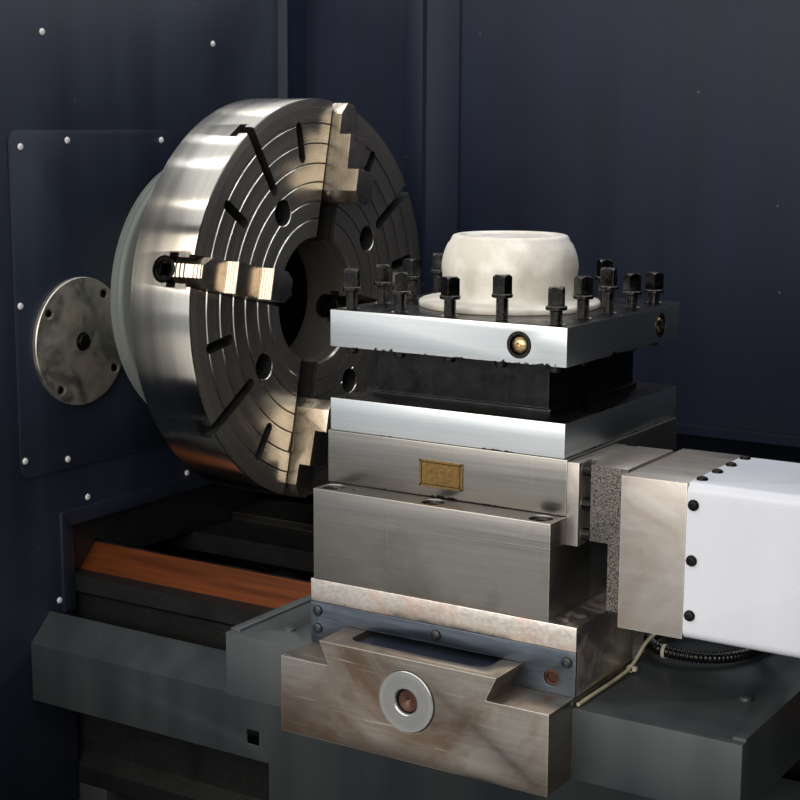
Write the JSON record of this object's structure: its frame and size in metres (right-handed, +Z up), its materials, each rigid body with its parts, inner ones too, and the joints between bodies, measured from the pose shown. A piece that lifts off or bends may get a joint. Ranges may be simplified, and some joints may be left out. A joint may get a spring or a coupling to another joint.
{
  "type": "cnc turning lathe",
  "caption": "Flat-bed turning lathe with an independent four-jaw chuck, a cross slide carrying a square tool turret, a tailstock, and a sheet metal enclosure with sliding doors.",
  "frame": {"origin": "centre of the footprint on the floor", "axes": "+X from the headstock to the tailstock, +Y away from the operator, +Z up"},
  "size_m": [3.7, 1.545, 1.75],
  "materials": {
    "machined_cast_iron": "machined cast iron, oily",
    "charcoal_paint": "charcoal enamel",
    "green_grey_paint": "dark green-grey enamel",
    "navy_grey_paint": "dark navy-grey textured enamel",
    "violet_grey_paint": "dark violet-grey enamel",
    "pale_ring_paint": "pale grey-green enamel",
    "white_powder_coat": "white powder coat",
    "black_paint": "black enamel",
    "panel_grey": "grey panel",
    "turned_steel": "turned steel",
    "chuck_steel": "ground and turned chuck steel, polished rim",
    "jaw_steel": "hardened ground jaw steel",
    "black_oxide": "black oxide steel",
    "brown_grey_steel": "ground steel with a brown-grey tone",
    "scraped_steel": "scraped steel",
    "ground_steel": "ground steel",
    "turret_steel": "pale ground steel, oily on top",
    "slate_steel": "slate coloured wiper plate",
    "stained_steel": "stained steel cover",
    "brass": "etched brass",
    "rough_cast": "rough cast iron with ground faces",
    "nylon": "off-white nylon",
    "conduit": "black conduit",
    "oil_tube": "yellowed nylon tube",
    "rubber": "belt rubber"
  },
  "bodies": {
    "machine": {"bed_casting": "machined_cast_iron", "left_pedestal": "charcoal_paint", "right_pedestal": "charcoal_paint", "chip_tray": "charcoal_paint", "front_way_cover": "green_grey_paint", "headstock_casting": "machined_cast_iron", "spindle_nose_ring": "pale_ring_paint", "headstock_guard_wall": "navy_grey_paint", "inset_guard_plate": "navy_grey_paint", "round_cover": "stained_steel", "back_guard": "violet_grey_paint", "headstock_cabinet": "navy_grey_paint", "tailstock_cabinet": "navy_grey_paint", "front_frame": "navy_grey_paint", "control_panel": "panel_grey", "front_spindle_bearing": "turned_steel", "rear_spindle_bearing": "turned_steel", "main_motor": "charcoal_paint", "drive_belt": "rubber", "z_servo_motor": "black_paint"},
    "spindle_set": {"spindle": "turned_steel", "chuck_backplate": "black_oxide", "chuck_body": "chuck_steel", "spindle_pulley": "machined_cast_iron"},
    "motor_pulley_set": {"motor_pulley": "machined_cast_iron"},
    "carriage": {"saddle": "brown_grey_steel", "slot_cover": "navy_grey_paint", "left_wing_cover": "green_grey_paint", "right_wing_cover": "green_grey_paint", "cross_screw_disc": "turned_steel", "z_nut_bracket": "machined_cast_iron", "x_servo_motor": "black_paint"},
    "z_screw": {"z_ball_screw": "turned_steel"},
    "x_screw": {"x_ball_screw": "turned_steel"},
    "slide_set": {"cross_slide": "scraped_steel", "slide_wiper": "slate_steel", "riser_block": "ground_steel", "turret_base": "ground_steel", "brass_plate": "brass", "motor_adapter": "rough_cast", "turret_motor_cover": "white_powder_coat", "turret_motor": "black_paint", "motor_conduit": "conduit", "oil_line": "oil_tube"},
    "turret_set": {"tool_turret": "turret_steel", "turret_cap": "nylon"},
    "tailstock": {"tailstock_body": "machined_cast_iron"},
    "quill": {"tailstock_quill": "turned_steel"},
    "centre": {"live_centre": "turned_steel"},
    "handwheel": {"tailstock_handwheel": "black_paint"},
    "left_door_set": {"left_door": "navy_grey_paint"},
    "right_door_set": {"right_door": "navy_grey_paint"},
    "jaw_front_set": {"jaw_front": "jaw_steel"},
    "screw_front_set": {"jaw_screw_front": "black_oxide"},
    "jaw_top_set": {"jaw_top": "jaw_steel"},
    "screw_top_set": {"jaw_screw_top": "black_oxide"},
    "jaw_back_set": {"jaw_back": "jaw_steel"},
    "screw_back_set": {"jaw_screw_back": "black_oxide"},
    "jaw_bottom_set": {"jaw_bottom": "jaw_steel"},
    "screw_bottom_set": {"jaw_screw_bottom": "black_oxide"}
  },
  "joints": [
    {"name": "spindle_turn", "type": "hinge", "parent": "machine", "child": "spindle_set", "pos_m": [-0.65, 0.1325, 1.13], "axis": [1, 0, 0], "continuous": true},
    {"name": "motor_turn", "type": "hinge", "parent": "machine", "child": "motor_pulley_set", "pos_m": [-1.66, 0.1825, 0.51], "axis": [1, 0, 0], "continuous": true},
    {"name": "carriage_travel", "type": "slide", "parent": "machine", "child": "carriage", "axis": [1, 0, 0], "range_m": [-0.28, 0.3]},
    {"name": "z_screw_turn", "type": "hinge", "parent": "machine", "child": "z_screw", "pos_m": [0.3, -0.1525, 0.57], "axis": [1, 0, 0], "range_deg": [-10200, 10900]},
    {"name": "cross_travel", "type": "slide", "parent": "carriage", "child": "slide_set", "axis": [0, 1, 0], "range_m": [-0.04, 0.26]},
    {"name": "x_screw_turn", "type": "hinge", "parent": "carriage", "child": "x_screw", "pos_m": [-0.006, -0.0675, 0.796], "axis": [0, 1, 0], "range_deg": [-1500, 9500]},
    {"name": "turret_index", "type": "hinge", "parent": "slide_set", "child": "turret_set", "pos_m": [-0.02, -0.3005, 1.13], "axis": [0, 0, 1], "continuous": true},
    {"name": "tailstock_travel", "type": "slide", "parent": "machine", "child": "tailstock", "axis": [1, 0, 0], "range_m": [-0.25, 0]},
    {"name": "quill_travel", "type": "slide", "parent": "tailstock", "child": "quill", "axis": [-1, 0, 0], "range_m": [0, 0.2]},
    {"name": "handwheel_turn", "type": "hinge", "parent": "tailstock", "child": "handwheel", "pos_m": [1.47, 0.1325, 1.13], "axis": [-1, 0, 0], "range_deg": [-200, 14600]},
    {"name": "centre_turn", "type": "hinge", "parent": "quill", "child": "centre", "pos_m": [1.02, 0.1325, 1.13], "axis": [1, 0, 0], "continuous": true},
    {"name": "left_door_travel", "type": "slide", "parent": "machine", "child": "left_door_set", "axis": [1, 0, 0], "range_m": [0, 0.75]},
    {"name": "right_door_travel", "type": "slide", "parent": "machine", "child": "right_door_set", "axis": [1, 0, 0], "range_m": [-0.75, 0]},
    {"name": "jaw_front_travel", "type": "slide", "parent": "spindle_set", "child": "jaw_front_set", "axis": [0, -0.9755, 0.2198], "range_m": [-0.06, 0.006]},
    {"name": "screw_front_turn", "type": "hinge", "parent": "spindle_set", "child": "screw_front_set", "pos_m": [-0.653, -0.06261, 1.17397], "axis": [0, -0.9755, 0.2198], "range_deg": [-1900, 240]},
    {"name": "jaw_top_travel", "type": "slide", "parent": "spindle_set", "child": "jaw_top_set", "axis": [0, 0.2198, 0.9755], "range_m": [-0.06, 0.006]},
    {"name": "screw_top_turn", "type": "hinge", "parent": "spindle_set", "child": "screw_top_set", "pos_m": [-0.653, 0.17647, 1.32511], "axis": [0, 0.2198, 0.9755], "range_deg": [-1900, 240]},
    {"name": "jaw_back_travel", "type": "slide", "parent": "spindle_set", "child": "jaw_back_set", "axis": [0, 0.9755, -0.2198], "range_m": [-0.06, 0.006]},
    {"name": "screw_back_turn", "type": "hinge", "parent": "spindle_set", "child": "screw_back_set", "pos_m": [-0.653, 0.32761, 1.08603], "axis": [0, 0.9755, -0.2198], "range_deg": [-1900, 240]},
    {"name": "jaw_bottom_travel", "type": "slide", "parent": "spindle_set", "child": "jaw_bottom_set", "axis": [0, -0.2198, -0.9755], "range_m": [-0.06, 0.006]},
    {"name": "screw_bottom_turn", "type": "hinge", "parent": "spindle_set", "child": "screw_bottom_set", "pos_m": [-0.653, 0.08853, 0.93489], "axis": [0, -0.2198, -0.9755], "range_deg": [-1900, 240]}
  ],
  "couplings": [
    {"joint": "motor_turn", "follows": "spindle_turn", "ratio": 1.873},
    {"joint": "z_screw_turn", "follows": "carriage_travel", "rad_per_m": 628.32},
    {"joint": "x_screw_turn", "follows": "cross_travel", "rad_per_m": 628.32},
    {"joint": "handwheel_turn", "follows": "quill_travel", "rad_per_m": 1256.6},
    {"joint": "screw_front_turn", "follows": "jaw_front_travel", "rad_per_m": 523.6},
    {"joint": "screw_top_turn", "follows": "jaw_top_travel", "rad_per_m": 523.6},
    {"joint": "screw_back_turn", "follows": "jaw_back_travel", "rad_per_m": 523.6},
    {"joint": "screw_bottom_turn", "follows": "jaw_bottom_travel", "rad_per_m": 523.6}
  ]
}
